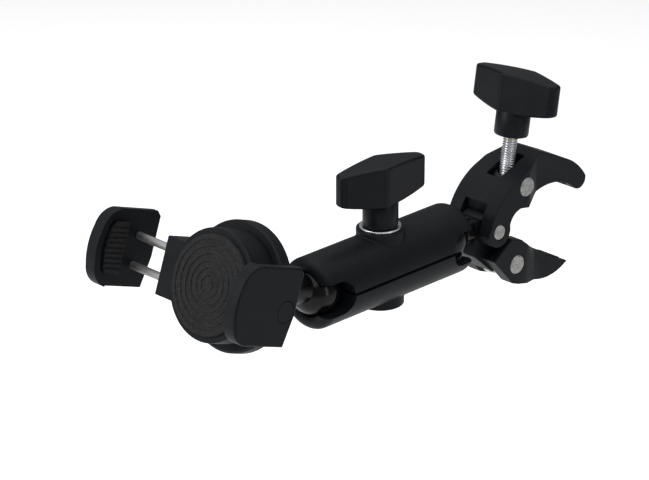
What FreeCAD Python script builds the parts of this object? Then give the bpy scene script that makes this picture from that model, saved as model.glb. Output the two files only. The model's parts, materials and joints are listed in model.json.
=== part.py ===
import FreeCAD, Part
import math
import os

import Sketcher
from FreeCAD import Placement, Rotation, Vector

# Clamp-on phone holder: a screw clamp for tube, a double ball arm and a spring cradle.
# Millimetres, +Z up, +X from the cradle to the clamp, tube axis along Y, origin on the tube's axis.

SIZES = [
    # Clamp: places in the side view, counted from the hinge pin
    ("hinge_back", 34.0), ("hinge_up", 7.0), ("clamp_width", 24.0), ("tip_width", 17.0),
    ("facet_start", 17.0), ("facet_end", 25.0), ("cheek", 6.2), ("pin_chamfer", 0.4),
    ("hinge_pin_dia", 5.0), ("hinge_head_dia", 6.4), ("hinge_head_deep", 1.0), ("knuckle", 6.3),
    ("upper_barrel_x", 15.7), ("upper_barrel_z", 15.0), ("lower_barrel_x", 10.8), ("lower_barrel_z", -17.1),
    ("barrel_dia", 8.0), ("barrel_proud", 0.3), ("barrel_chamfer", 0.5),
    ("screw_dia", 6.0), ("journal_dia", 5.0), ("screw_room", 0.35), ("screw_chamfer", 0.5),
    ("screw_slot", 7.4), ("screw_slot_start", 8.6), ("screw_slot_end", 22.6),
    ("nut_dia", 8.4), ("nut_high", 1.8),
    ("run_fit", 0.05), ("face_gap", 0.1), ("pad_deep", 0.9), ("pad_proud", 0.5), ("pad_width", 11.0),
    # Upper clamp jaw's outline
    ("hook_root_x", 21.8), ("hook_root_z", 8.0), ("hook_arc", 24.5), ("hook_tip_x", 48.6),
    ("hook_tip_z", 4.2), ("tip_round", 4.1), ("hook_nose_x", 55.4), ("hook_nose_z", 8.0), ("nose_arc", 28.0),
    ("hook_back_x", 42.8), ("hook_back_z", 18.7), ("crown_x", 27.5), ("crown_z", 26.1),
    ("crown_back_x", 12.7), ("crown_back_z", 20.4), ("back_arc", 27.0), ("back_x", -3.9), ("back_z", 6.0),
    ("pocket_x", 6.2), ("pocket_z", 1.6), ("pocket_arc", 7.0), ("pocket_top_x", 12.6), ("pocket_top_z", 6.6),
    ("tooth_x", 17.2), ("tooth_z", 5.7), ("channel_end", 19.7), ("channel_roof", 17.6),
    ("channel_bend_x", 11.7), ("channel_bend_z", 16.3), ("channel_back", -0.4), ("window_z", 10.6),
    ("upper_pad_from_angle", 108.0), ("upper_pad_to_angle", 54.0),
    # Lower clamp jaw's outline
    ("wall_top_x", 7.2), ("wall_top_z", -5.1), ("wall_foot_x", -2.8), ("wall_foot_z", -12.2),
    ("keel_back_x", 8.2), ("keel_back_z", -24.6), ("keel_x", 11.8), ("keel_z", -26.0),
    ("belly_x", 27.8), ("belly_z", -29.9), ("belly_arc", 23.0), ("lip_x", 45.4), ("lip_z", -26.8),
    ("seat_x", 25.3), ("seat_z", -15.5), ("seat_arc", 60.0), ("brow_x", 13.6), ("brow_z", -7.3),
    ("well_start", 3.8), ("well_end", 18.8), ("well_wall", 6.5), ("post_room", 0.6),
    ("lower_pad_from_angle", 235.0), ("lower_pad_to_angle", 250.0),
    ("post_x", -7.4), ("post_top_z", 4.6), ("post_slope", 4.0), ("post_foot_z", -10.5),
    ("tongue_nose", 5.9), ("tongue_low", -5.0), ("tongue_front", 5.3), ("tongue_foot_z", -20.3),
    # Balls
    ("ball_dia", 20.0), ("neck_dia", 12.4), ("shank_dia", 6.0), ("clamp_ball_x", -20.5),
    ("clamp_shank", 4.0),
    # Arm
    ("arm_span", 71.0), ("arm_dia", 27.8), ("lower_swell", 0.4), ("arm_reach", 5.5), ("end_round", 3.4),
    ("mouth_angle", 62.0), ("socket_room", 0.15), ("part_gap", 0.25), ("half_drop", 0.5),
    ("socket_wall", 3.0), ("arm_wall", 3.4), ("notch_room", 0.35), ("notch_deep", 8.0), ("boss_dia", 19.0),
    ("boss_foot_round", 0.6), ("boss_round", 0.4), ("boss_top", 1.7), ("boss_bottom", 1.1), ("rim_flat", 0.1),
    ("bolt_dia", 8.0), ("bolt_room", 0.3), ("bolt_end_gap", 0.5), ("bolt_head_dia", 13.6),
    ("bolt_head_high", 5.0), ("washer_dia", 16.4), ("washer_thick", 1.0), ("arm_spring_dia", 11.4),
    ("arm_spring_wire", 1.1), ("arm_spring_deep", 5.0), ("arm_spring_turns", 3.0),
    # T knobs
    ("knob_long", 40.0), ("knob_mid", 13.0), ("knob_tip", 5.0), ("knob_tip_round", 2.2), ("knob_high", 16.4),
    ("knob_crown", 2.1), ("knob_rise", 4.0), ("knob_root", 1.0), ("knob_round", 1.2), ("stem_dia", 13.6),
    ("stem_long", 9.7), ("stem_round", 1.0), ("insert_dia", 10.0), ("insert_long", 9.0),
    ("arm_knob_angle", -8.0), ("clamp_knob_angle", -88.0), ("clamp_knob_up", 18.5),
    # Cradle: counted from its ball, X towards the ball, Z up the phone
    ("cradle_lean_angle", 19.2), ("plate_back", 39.5), ("plate_thick", 6.0), ("plate_dia", 50.0),
    ("plate_bevel", 0.8), ("flare_dia", 30.0), ("flare_long", 13.0), ("collar_dia", 15.0),
    ("cradle_shank", 12.0),
    ("screw_edge", 2.5), ("plate_screw_dia", 3.0), ("plate_screw_head", 5.6), ("plate_screw_long", 11.0),
    ("head_sink", 3.0), ("body_dia", 43.0), ("cover_thick", 2.4), ("front_pad_thick", 1.6),
    ("front_pad_dia", 38.0), ("box_high", 23.0), ("box_wall", 2.6), ("phone_back", 58.8),
    ("phone_near", 25.75), ("phone_far", 45.75),
    # Cradle jaws
    ("jaw_wall", 3.6), ("jaw_rear", 42.7), ("jaw_mid", 0.75), ("jaw_half", 15.15), ("jaw_bevel", 2.0),
    ("jaw_round", 0.9),
    ("jaw_flat", 65.7), ("jaw_corner", 9.0), ("jaw_shoulder_x", 73.1), ("jaw_shoulder_z", 8.0),
    ("jaw_arc", 26.0), ("jaw_slant_x", 45.0), ("jaw_slant_z", -2.1), ("lip_over", 2.0), ("lip_thick", 2.5),
    ("jaw_pad_thick", 1.4), ("jaw_pad_inset", 5.0), ("jaw_pad_back", 59.1),
    ("cap_dia", 8.7), ("cap_deep", 1.2), ("cap_x", 48.1), ("cap_z", -0.8),
    ("jaw_screw_dia", 2.5), ("jaw_screw_long", 9.0), ("jaw_screw_head", 4.8), ("jaw_screw_head_high", 1.4),
    ("boss_half", 1.8), ("boss_long", 9.0),
    ("rod_x", 51.8), ("rod_rise", 5.8), ("rod_dia", 3.2), ("rod_seat", 3.0), ("rod_end", -2.4),
    ("collar_thick", 1.6), ("rod_collar_dia", 5.2),
    ("spring_dia", 5.6), ("spring_wire", 0.7), ("spring_turns", 5.0), ("spring_room", 0.1),
]

doc = FreeCAD.newDocument("phone_holder")
sheet = doc.addObject("Spreadsheet::Sheet", "Sizes")
for row, (alias, number) in enumerate(SIZES, start=1):
    sheet.set(f"A{row}", str(number))
    sheet.setAlias(f"A{row}", alias)
doc.recompute()


class Size:
    """A length or angle: its number, and the sheet expression that gives it."""

    def __init__(self, value, text):
        self.value = value
        self.text = text

    def __add__(self, other):
        other = as_size(other)
        return Size(self.value + other.value, f"({self.text} + {other.text})")

    def __sub__(self, other):
        other = as_size(other)
        return Size(self.value - other.value, f"({self.text} - {other.text})")

    def __mul__(self, other):
        other = as_size(other)
        return Size(self.value * other.value, f"({self.text} * {other.text})")

    def __truediv__(self, other):
        other = as_size(other)
        return Size(self.value / other.value, f"({self.text} / {other.text})")

    def __neg__(self):
        return Size(-self.value, f"(-1 * {self.text})")

    def __radd__(self, other):
        return as_size(other) + self

    def __rsub__(self, other):
        return as_size(other) - self

    def __rmul__(self, other):
        return as_size(other) * self


def as_size(item):
    return item if isinstance(item, Size) else Size(float(item), f"({float(item)})")


def sine(angle):
    return Size(math.sin(math.radians(angle.value)), f"sin({angle.text})")


def cosine(angle):
    return Size(math.cos(math.radians(angle.value)), f"cos({angle.text})")


def lean_angle(across, up):
    return Size(math.degrees(math.atan2(across.value, up.value)), f"atan({across.text} / {up.text})")


def root(item):
    return Size(math.sqrt(item.value), f"sqrt({item.text})")


def smaller(first, second):
    return Size(min(first.value, second.value), f"min({first.text}; {second.text})")


class Table:
    """The sheet's cells as named sizes."""

    def __getattr__(self, alias):
        return Size(float(sheet.get(alias)), f"Sizes.{alias}")


S = Table()
PIECES = []
TOUCH = 0.01


def bind(item, **sizes):
    """Ties properties of a document object to the sheet."""
    for name, size in sizes.items():
        item.setExpression(name, as_size(size).text)


def place(item, frame):
    """Puts a piece in a frame: a chain of steps, each a shift, a turn about Z and a lean about Y."""
    spot = Placement()
    words = []
    for step in frame:
        x, y, z, turn, lean = [as_size(number) for number in step]
        turned = Rotation(turn.value, lean.value, 0)
        spot = spot.multiply(Placement(Vector(x.value, y.value, z.value), turned))
        shift = f"vector({x.text}; {y.text}; {z.text})"
        words.append(f"placement({shift}; rotation({turn.text}; {lean.text}; 0))")
    item.Placement = spot
    item.setExpression("Placement", " * ".join(words))


def new_body(name):
    body = doc.addObject("PartDesign::Body", name)
    body.Label = name
    PIECES.append(body)
    return body


def new_sketch(body, name, role, rise=0):
    """A sketch on one of the body's own planes, lifted off it by a size."""
    sketch = body.newObject("Sketcher::SketchObject", name)
    plane = [item for item in body.Origin.OriginFeatures if item.Role == role][0]
    sketch.AttachmentSupport = (plane, [""])
    sketch.MapMode = "FlatFace"
    sketch.AttachmentOffset = Placement(Vector(0, 0, as_size(rise).value), Rotation())
    sketch.setExpression("AttachmentOffset.Base.z", as_size(rise).text)
    return sketch


def fix(sketch, kind, *place_and_value):
    """Adds one dimension to a sketch and ties it to the sheet."""
    *where, size = place_and_value
    size = as_size(size)
    index = sketch.addConstraint(Sketcher.Constraint(kind, *where, size.value))
    sketch.setExpression(f"Constraints[{index}]", size.text)


def arc_between(start, end, radius):
    """The short arc from start to end; a negative radius runs clockwise."""
    chord = end - start
    left = Vector(-chord.y, chord.x, 0)
    left.normalize()
    rise = math.sqrt(max(radius * radius - chord.Length * chord.Length / 4, 0))
    centre = (start + end) * 0.5 + left * math.copysign(rise, radius)
    first, last = (start, end) if radius > 0 else (end, start)
    angles = [math.atan2(p.y - centre.y, p.x - centre.x) for p in (first, last)]
    circle = Part.Circle(centre, Vector(0, 0, 1), abs(radius))
    return Part.ArcOfCircle(circle, angles[0], angles[1])


def outline(sketch, corners):
    """Draws a closed outline. A corner is (x, y), or (x, y, radius) where an arc leads to the next one."""
    corners = [tuple(as_size(item) for item in corner) for corner in corners]
    spots = [Vector(c[0].value, c[1].value, 0) for c in corners]
    first = sketch.GeometryCount
    count = len(corners)
    heads, tails = [], []
    for index, corner in enumerate(corners):
        start, end = spots[index], spots[(index + 1) % count]
        clockwise = len(corner) > 2 and corner[2].value < 0
        heads.append(2 if clockwise else 1)
        tails.append(1 if clockwise else 2)
        if len(corner) > 2:
            sketch.addGeometry(arc_between(start, end, corner[2].value))
        else:
            sketch.addGeometry(Part.LineSegment(start, end))
    for index, corner in enumerate(corners):
        after = (index + 1) % count
        sketch.addConstraint(
            Sketcher.Constraint("Coincident", first + index, tails[index], first + after, heads[after])
        )
        fix(sketch, "DistanceX", -1, 1, first + index, heads[index], corner[0])
        fix(sketch, "DistanceY", -1, 1, first + index, heads[index], corner[1])
        if len(corner) > 2:
            positive = corner[2] if corner[2].value > 0 else -corner[2]
            fix(sketch, "Radius", first + index, positive)


def circle(sketch, x, y, radius):
    x, y, radius = as_size(x), as_size(y), as_size(radius)
    spot = Vector(x.value, y.value, 0)
    index = sketch.addGeometry(Part.Circle(spot, Vector(0, 0, 1), radius.value))
    fix(sketch, "DistanceX", -1, 1, index, 3, x)
    fix(sketch, "DistanceY", -1, 1, index, 3, y)
    fix(sketch, "Radius", index, radius)


def rectangle(sketch, x0, y0, x1, y1):
    outline(sketch, [(x0, y0), (x1, y0), (x1, y1), (x0, y1)])


def pad(sketch, length, both=False, back=False):
    feature = sketch.getParentGeoFeatureGroup().newObject("PartDesign::Pad", sketch.Name + "_pad")
    feature.Profile = sketch
    feature.SideType = "Symmetric" if both else "One side"
    feature.Reversed = back
    bind(feature, Length=length)
    doc.recompute()
    return feature


def cut(sketch, length=None, both=True, back=False):
    """Cuts a sketch through its body; the volume shows that something was taken away."""
    body = sketch.getParentGeoFeatureGroup()
    before = body.Shape.Volume
    feature = body.newObject("PartDesign::Pocket", sketch.Name + "_cut")
    feature.Profile = sketch
    if length is None:
        feature.Type = "ThroughAll"
    else:
        bind(feature, Length=length)
    feature.SideType = "Symmetric" if both else "One side"
    feature.Reversed = back
    doc.recompute()
    if body.Shape.Volume >= before:
        raise RuntimeError(f"{feature.Name} cut nothing")
    return feature


def revolve(sketch, axis="V_Axis", angle=360, back=False):
    feature = sketch.getParentGeoFeatureGroup().newObject("PartDesign::Revolution", sketch.Name + "_turn")
    feature.Profile = sketch
    feature.ReferenceAxis = (sketch, [axis])
    feature.Angle = angle
    feature.Reversed = back
    doc.recompute()
    return feature


def round_edges(body, radius, wanted):
    """Fillets the edges of a body that a test picks out."""
    doc.recompute()
    tip = body.Tip
    names = [f"Edge{i}" for i, edge in enumerate(tip.Shape.Edges, start=1) if wanted(edge)]
    feature = body.newObject("PartDesign::Fillet", body.Name + "_round" + str(len(body.Group)))
    feature.Base = (tip, names)
    bind(feature, Radius=radius)
    doc.recompute()
    return feature


# Arm's outside, and the heights of its bosses, which stand proud of it
ARM_TOP = S.arm_dia / 2
ARM_BOTTOM = S.arm_dia / 2 + S.lower_swell
BOSS_TOP = ARM_TOP + S.boss_top
BOSS_BOTTOM = ARM_BOTTOM + S.boss_bottom

# Frames. The clamp's stands on the hinge pin, the screw's on the lower barrel, the arm's midway between
# its balls. The cradle's stands on its ball, X towards the arm, leaning back with the phone.
BARREL_RISE_X = S.upper_barrel_x - S.lower_barrel_x
BARREL_RISE_Z = S.upper_barrel_z - S.lower_barrel_z
SCREW_LEAN = lean_angle(BARREL_RISE_X, BARREL_RISE_Z)
BARREL_SPAN = root(BARREL_RISE_X * BARREL_RISE_X + BARREL_RISE_Z * BARREL_RISE_Z)
CLAMP = [(-S.hinge_back, 0, S.hinge_up, 0, 0)]
UPPER_BARREL = CLAMP + [(S.upper_barrel_x, 0, S.upper_barrel_z, 0, SCREW_LEAN)]
SCREW = CLAMP + [(S.lower_barrel_x, 0, S.lower_barrel_z, 0, SCREW_LEAN)]
CLAMP_KNOB = SCREW + [(0, 0, BARREL_SPAN + S.clamp_knob_up, S.clamp_knob_angle, 0)]
CLAMP_BALL = CLAMP + [(S.clamp_ball_x, 0, 0, 0, 0)]
ARM = CLAMP_BALL + [(-S.arm_span / 2, 0, 0, 0, 0)]
ARM_KNOB = ARM + [(0, 0, BOSS_TOP + S.washer_thick, S.arm_knob_angle, 0)]
ARM_LOWER = ARM + [(0, 0, -S.half_drop, 0, 0)]
ARM_SPRING = ARM_LOWER + [(0, 0, -S.arm_spring_deep, 0, 0)]
CRADLE = ARM + [(-S.arm_span / 2, 0, 0, 0, S.cradle_lean_angle)]
CRADLE_BALL = CRADLE + [(0, 0, 0, 180, 0)]

# Sizes that follow from others
CHANNEL = S.clamp_width - 2 * S.cheek
WELL = S.clamp_width - 2 * S.well_wall
BALL = S.ball_dia / 2
NECK = S.neck_dia / 2
PLATE_FRONT = S.plate_back + S.plate_thick
BODY_FRONT = S.phone_back - S.front_pad_thick
NEAR_WALL = S.phone_near + S.jaw_pad_thick
FAR_WALL = S.phone_far + S.jaw_pad_thick
BOX_INSIDE = NEAR_WALL - S.box_wall


def narrow_tip(body, name, far):
    """Slants the sides of a jaw from its full width to its narrower tip."""
    sketch = new_sketch(body, name, "XY_Plane")
    for side in (1, -1):
        wide = side * S.clamp_width / 2
        slim = side * S.tip_width / 2
        out = side * S.clamp_width
        corners = [(S.facet_start, wide), (S.facet_end, slim), (far, slim), (far, out), (S.facet_start, out)]
        outline(sketch, corners)
    cut(sketch)


def make_upper_jaw():
    """The claw that the screw pulls down: two cheeks under a slotted back, and a hook."""
    body = new_body("upper_jaw")
    side = new_sketch(body, "upper_side", "XZ_Plane")
    outline(side, [
        (S.knuckle, 0),
        (S.pocket_x, S.pocket_z, -S.pocket_arc),
        (S.pocket_top_x, S.pocket_top_z),
        (S.tooth_x, S.tooth_z),
        (S.hook_root_x, S.hook_root_z, -S.hook_arc),
        (S.hook_tip_x, S.hook_tip_z, S.tip_round),
        (S.hook_nose_x, S.hook_nose_z, S.nose_arc),
        (S.hook_back_x, S.hook_back_z),
        (S.crown_x, S.crown_z),
        (S.crown_back_x, S.crown_back_z, S.back_arc),
        (S.back_x, S.back_z),
        (-S.knuckle, 0, S.knuckle),
        (0, -S.knuckle, S.knuckle),
    ])
    pad(side, S.clamp_width, both=True)
    narrow_tip(body, "upper_facets", S.hook_nose_x + S.clamp_width)
    channel = new_sketch(body, "upper_channel", "XZ_Plane")
    low = -S.knuckle * 2
    behind = S.back_x * 2
    outline(channel, [
        (behind, low),
        (S.channel_end, low),
        (S.channel_end, S.channel_roof),
        (S.channel_bend_x, S.channel_bend_z),
        (S.channel_back, S.window_z),
        (behind, S.window_z),
    ])
    cut(channel, CHANNEL)
    slot = new_sketch(body, "upper_slot", "XY_Plane")
    rectangle(slot, S.screw_slot_start, -S.screw_slot / 2, S.screw_slot_end, S.screw_slot / 2)
    cut(slot, S.crown_z * 2, both=False, back=True)
    holes = new_sketch(body, "upper_holes", "XZ_Plane")
    circle(holes, 0, 0, S.hinge_pin_dia / 2 + S.run_fit)
    circle(holes, S.upper_barrel_x, S.upper_barrel_z, S.barrel_dia / 2 + S.run_fit)
    cut(holes)
    head_seats(body)
    groove_for_pad(body, "upper_pad_seat", upper_pad_line(0))
    place(body, CLAMP)


def head_seats(body):
    """Shallow round seats for the hinge pin's heads in both cheeks."""
    for name, side, back in (("near_head_seat", 1, False), ("far_head_seat", -1, True)):
        seat = new_sketch(body, name, "XZ_Plane", side * S.clamp_width / 2)
        circle(seat, 0, 0, S.hinge_head_dia / 2 + S.run_fit)
        cut(seat, S.hinge_head_deep, both=False, back=back)


def arc_centre(x0, z0, x1, z1, radius):
    """Centre of the arc from one place to another, on the right of the way between them."""
    across, up = x1 - x0, z1 - z0
    chord = root(across * across + up * up)
    rise = root(radius * radius - chord * chord / 4)
    return (x0 + x1) / 2 + up / chord * rise, (z0 + z1) / 2 - across / chord * rise


def bent_strip(centre, inner, outer, start, end):
    """Section of a strip bent about a centre, between two radii and two angles."""
    x, z = centre
    return [
        (x + inner * cosine(start), z + inner * sine(start), inner),
        (x + inner * cosine(end), z + inner * sine(end)),
        (x + outer * cosine(end), z + outer * sine(end), -outer),
        (x + outer * cosine(start), z + outer * sine(start)),
    ]


def upper_pad_line(proud):
    """Section of the upper rubber pad, let into the hook's arc."""
    centre = arc_centre(S.hook_root_x, S.hook_root_z, S.hook_tip_x, S.hook_tip_z, S.hook_arc)
    angles = S.upper_pad_to_angle, S.upper_pad_from_angle
    return bent_strip(centre, S.hook_arc - proud, S.hook_arc + S.pad_deep, *angles)


def lower_pad_line(proud):
    """Section of the lower rubber pad, let into the lower jaw's seat."""
    centre = arc_centre(S.lip_x, S.lip_z, S.seat_x, S.seat_z, S.seat_arc)
    angles = S.lower_pad_from_angle, S.lower_pad_to_angle
    return bent_strip(centre, S.seat_arc - proud, S.seat_arc + S.pad_deep, *angles)


def groove_for_pad(body, name, line):
    sketch = new_sketch(body, name, "XZ_Plane")
    outline(sketch, line)
    cut(sketch, S.pad_width)


def make_pad(name, line):
    body = new_body(name)
    sketch = new_sketch(body, name + "_side", "XZ_Plane")
    outline(sketch, line)
    pad(sketch, S.pad_width - 2 * S.face_gap, both=True)
    place(body, CLAMP)


def make_lower_jaw():
    """The fixed half of the clamp: a keel with a seat for the tube, and the post that carries the ball."""
    body = new_body("lower_jaw")
    side = new_sketch(body, "lower_side", "XZ_Plane")
    outline(side, [
        (S.wall_top_x, S.wall_top_z),
        (S.wall_foot_x, S.wall_foot_z),
        (S.keel_back_x, S.keel_back_z),
        (S.keel_x, S.keel_z),
        (S.belly_x, S.belly_z, S.belly_arc),
        (S.lip_x, S.lip_z, -S.seat_arc),
        (S.seat_x, S.seat_z, -S.seat_arc),
        (S.brow_x, S.brow_z),
    ])
    pad(side, S.clamp_width, both=True)
    narrow_tip(body, "lower_facets", S.lip_x + S.clamp_width)
    well = new_sketch(body, "lower_well", "XY_Plane")
    rectangle(well, S.well_start, -WELL / 2, S.well_end, WELL / 2)
    cut(well)
    tongue = new_sketch(body, "lower_tongue", "XZ_Plane")
    outline(tongue, [
        (S.tongue_nose, 0),
        (S.post_x + S.post_slope, S.post_top_z),
        (S.post_x, S.post_top_z),
        (S.post_x, S.post_foot_z),
        (S.well_start, S.tongue_foot_z),
        (S.tongue_front, S.wall_foot_z),
        (S.tongue_nose, S.tongue_low),
    ])
    pad(tongue, CHANNEL - 2 * S.post_room, both=True)
    holes = new_sketch(body, "lower_holes", "XZ_Plane")
    circle(holes, 0, 0, S.hinge_pin_dia / 2 + S.run_fit)
    circle(holes, S.lower_barrel_x, S.lower_barrel_z, S.barrel_dia / 2 + S.run_fit)
    cut(holes)
    socket = new_sketch(body, "lower_stud_hole", "YZ_Plane", S.post_x)
    circle(socket, 0, 0, S.shank_dia / 2 + S.run_fit)
    cut(socket, S.clamp_shank + S.face_gap, both=False, back=True)
    groove_for_pad(body, "lower_pad_seat", lower_pad_line(0))
    place(body, CLAMP)


def make_hinge_pin():
    body = new_body("hinge_pin")
    half = new_sketch(body, "hinge_half", "YZ_Plane")
    length = S.clamp_width / 2
    shaft = S.hinge_pin_dia / 2
    head = S.hinge_head_dia / 2
    inner = length - S.hinge_head_deep + S.face_gap
    slim = head - S.pin_chamfer
    short = length - S.pin_chamfer
    outline(half, [
        (-length, 0), (length, 0), (length, slim), (short, head), (inner, head), (inner, shaft),
        (-inner, shaft), (-inner, head), (-short, head), (-length, slim),
    ])
    revolve(half, "H_Axis")
    place(body, CLAMP)


def make_barrel(name, hole, frame):
    """A round cross bar through both walls of a jaw, drilled across for the screw."""
    body = new_body(name)
    half = new_sketch(body, name + "_half", "YZ_Plane")
    length = S.clamp_width / 2 + S.barrel_proud
    radius = S.barrel_dia / 2
    slim = radius - S.barrel_chamfer
    short = length - S.barrel_chamfer
    outline(half, [
        (-length, 0), (length, 0), (length, slim), (short, radius), (-short, radius), (-length, slim),
    ])
    revolve(half, "H_Axis")
    drill = new_sketch(body, name + "_drill", "XY_Plane")
    circle(drill, 0, 0, hole)
    cut(drill)
    place(body, frame)


def make_screw():
    """The clamp screw, turned down to a journal where it runs in the lower barrel."""
    body = new_body("clamp_screw")
    half = new_sketch(body, "screw_half", "XZ_Plane")
    radius = S.screw_dia / 2
    journal = S.journal_dia / 2
    bevel = S.screw_chamfer
    top = BARREL_SPAN + S.clamp_knob_up + S.insert_long - S.bolt_end_gap
    shoulder = S.barrel_dia / 2 + S.face_gap
    low = -shoulder - S.nut_high
    outline(half, [
        (0, low), (journal - bevel, low), (journal, low + bevel), (journal, shoulder),
        (radius, shoulder + bevel), (radius, top - bevel), (radius - bevel, top), (0, top),
    ])
    revolve(half)
    place(body, SCREW)


def make_screw_nut():
    """Round lock nut that keeps the screw's end in the lower barrel."""
    body = new_body("screw_nut")
    half = new_sketch(body, "nut_half", "XZ_Plane")
    top = -S.barrel_dia / 2 - S.face_gap
    low = top - S.nut_high
    hole = S.journal_dia / 2
    rim = S.nut_dia / 2
    bevel = S.screw_chamfer
    outline(half, [
        (hole, low), (rim - bevel, low), (rim, low + bevel),
        (rim, top - bevel), (rim - bevel, top), (hole, top),
    ])
    revolve(half)
    place(body, SCREW)


def bow(half_length, rise):
    """Radius of an arc over a length, from its half and its rise."""
    return (half_length * half_length + rise * rise) / (2 * rise)


def is_upright(edge):
    box = edge.BoundBox
    return box.ZLength > box.XLength + box.YLength


def is_level(edge, height):
    """Whether an edge lies flat at a height."""
    return max(abs(edge.BoundBox.ZMin - height), abs(edge.BoundBox.ZMax - height)) < TOUCH


def is_across(edge, place):
    """Whether an edge lies in the plane across Y at a place."""
    return max(abs(edge.BoundBox.YMin - place), abs(edge.BoundBox.YMax - place)) < TOUCH


def lies_on(edge, boss, arm):
    """Whether an edge is where an upright round boss meets the round arm."""
    return edge.Length > TOUCH and all(
        abs(math.hypot(p.x, p.y) - boss) < TOUCH and abs(math.hypot(p.y, p.z) - arm) < TOUCH
        for p in edge.discretize(5)
    )


def make_knob(name, frame):
    """A T knob: a tapered wing with a crowned top and a slanted underside on a round stem."""
    body = new_body(name)
    side = new_sketch(body, name + "_side", "XZ_Plane")
    reach = S.knob_long / 2
    base = S.stem_long
    top = base + S.knob_high
    neck = S.stem_dia / 2
    outline(side, [
        (-reach, base + S.knob_rise), (-neck, base), (neck, base), (reach, base + S.knob_rise),
        (reach, top - S.knob_crown, bow(reach, S.knob_crown)), (-reach, top - S.knob_crown),
    ])
    pad(side, S.knob_mid, both=True)
    plan = new_sketch(body, name + "_plan", "XY_Plane")
    for x_side in (1, -1):
        for y_side in (1, -1):
            far = x_side * S.knob_long
            wide = y_side * S.knob_mid
            slim = y_side * S.knob_tip / 2
            outline(plan, [(far, wide), (0, wide), (0, wide / 2), (x_side * reach, slim), (far, slim)])
    cut(plan)
    middle = reach.value / 2
    round_edges(body, S.knob_tip_round, lambda edge: is_upright(edge) and abs(edge.BoundBox.XMin) > middle)
    round_edges(body, S.knob_round, lambda edge: True)
    stem = new_sketch(body, name + "_stem", "XY_Plane")
    circle(stem, 0, 0, S.stem_dia / 2)
    pad(stem, base + S.knob_rise + S.knob_root)
    round_edges(body, S.stem_round, lambda edge: edge.BoundBox.ZMax < S.stem_round.value / 2)
    bore = new_sketch(body, name + "_bore", "XY_Plane")
    circle(bore, 0, 0, S.insert_dia / 2)
    cut(bore, S.insert_long, both=False, back=True)
    place(body, frame)


def make_insert(name, hole, frame):
    """Threaded brass sleeve moulded into a knob."""
    body = new_body(name)
    half = new_sketch(body, name + "_half", "XZ_Plane")
    rectangle(half, hole, 0, S.insert_dia / 2, S.insert_long)
    revolve(half)
    place(body, frame)


def shell_section(sketch, outer):
    """Half of an arm shell's section: round outside, ball sockets and a hollow middle."""
    ball = S.arm_span / 2
    seat = BALL + S.socket_room
    end = ball + S.arm_reach
    mouth = S.arm_reach * sine(S.mouth_angle) / cosine(S.mouth_angle)
    rim_x = ball + seat * cosine(S.mouth_angle)
    rim_r = seat * sine(S.mouth_angle)
    web = ball - seat - S.socket_wall
    inner = ARM_TOP - S.arm_wall
    bend = smaller(S.end_round, outer - mouth - S.rim_flat)
    outline(sketch, [
        (end, mouth), (end, outer - bend, bend), (end - bend, outer), (bend - end, outer, bend),
        (-end, outer - bend), (-end, mouth), (-rim_x, rim_r, -seat), (-ball, seat, -seat), (seat - ball, 0),
        (-web, 0), (-web, inner), (web, inner), (web, 0), (ball - seat, 0, -seat), (ball, seat, -seat),
        (rim_x, rim_r),
    ])


def make_shell(name, side):
    """One half of the arm; side is 1 for the upper shell and -1 for the lower."""
    body = new_body(name)
    section = new_sketch(body, name + "_section", "XY_Plane")
    outer = ARM_TOP if side > 0 else ARM_BOTTOM
    shell_section(section, outer)
    revolve(section, "H_Axis", 180, back=side < 0)
    boss = new_sketch(body, name + "_boss", "XY_Plane")
    circle(boss, 0, 0, S.boss_dia / 2)
    height = BOSS_TOP if side > 0 else BOSS_BOTTOM
    pad(boss, height, back=side < 0)
    radius = S.boss_dia.value / 2
    round_edges(body, S.boss_foot_round, lambda edge: lies_on(edge, radius, outer.value))
    round_edges(body, S.boss_round, lambda edge: is_level(edge, side * height.value))
    gap = new_sketch(body, name + "_gap", "XZ_Plane")
    rectangle(gap, -S.arm_span, -S.part_gap, S.arm_span, S.part_gap)
    cut(gap, S.arm_dia * 2)
    notch = new_sketch(body, name + "_notches", "XZ_Plane")
    half = NECK + S.notch_room
    for end in (1, -1):
        deep = end * (S.arm_span / 2 - S.notch_deep)
        far = end * S.arm_span
        turn = end * half
        outline(notch, [
            (deep, 0, -turn), (deep + turn, half), (far, half), (far, -half), (deep + turn, -half, -turn),
        ])
    cut(notch, S.arm_dia * 2)
    bore = new_sketch(body, name + "_bore", "XY_Plane")
    circle(bore, 0, 0, S.bolt_dia / 2 + S.bolt_room)
    cut(bore)
    seat = new_sketch(body, name + "_spring_seat", "XY_Plane")
    circle(seat, 0, 0, S.arm_spring_dia / 2 + S.bolt_room)
    cut(seat, S.arm_spring_deep, both=False, back=side > 0)
    if side < 0:
        hexagon = new_sketch(body, name + "_hex", "XY_Plane", -BOSS_BOTTOM)
        hex_outline(hexagon, S.bolt_head_dia / 2 + S.face_gap)
        cut(hexagon, S.bolt_head_high, both=False, back=True)
    place(body, ARM if side > 0 else ARM_LOWER)


def hex_outline(sketch, radius):
    turns = [as_size(60 * step) for step in range(6)]
    outline(sketch, [(radius * cosine(angle), radius * sine(angle)) for angle in turns])


def make_arm_bolt():
    """Hexagon bolt through both shells, its head let into the lower one."""
    body = new_body("arm_bolt")
    head = new_sketch(body, "bolt_head", "XY_Plane", -BOSS_BOTTOM)
    hex_outline(head, S.bolt_head_dia / 2)
    pad(head, S.bolt_head_high)
    shaft = new_sketch(body, "bolt_shaft", "XY_Plane", -BOSS_BOTTOM)
    circle(shaft, 0, 0, S.bolt_dia / 2)
    grip = BOSS_BOTTOM + S.half_drop + BOSS_TOP + S.washer_thick
    pad(shaft, grip + S.insert_long - S.bolt_end_gap)
    place(body, ARM_LOWER)


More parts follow.
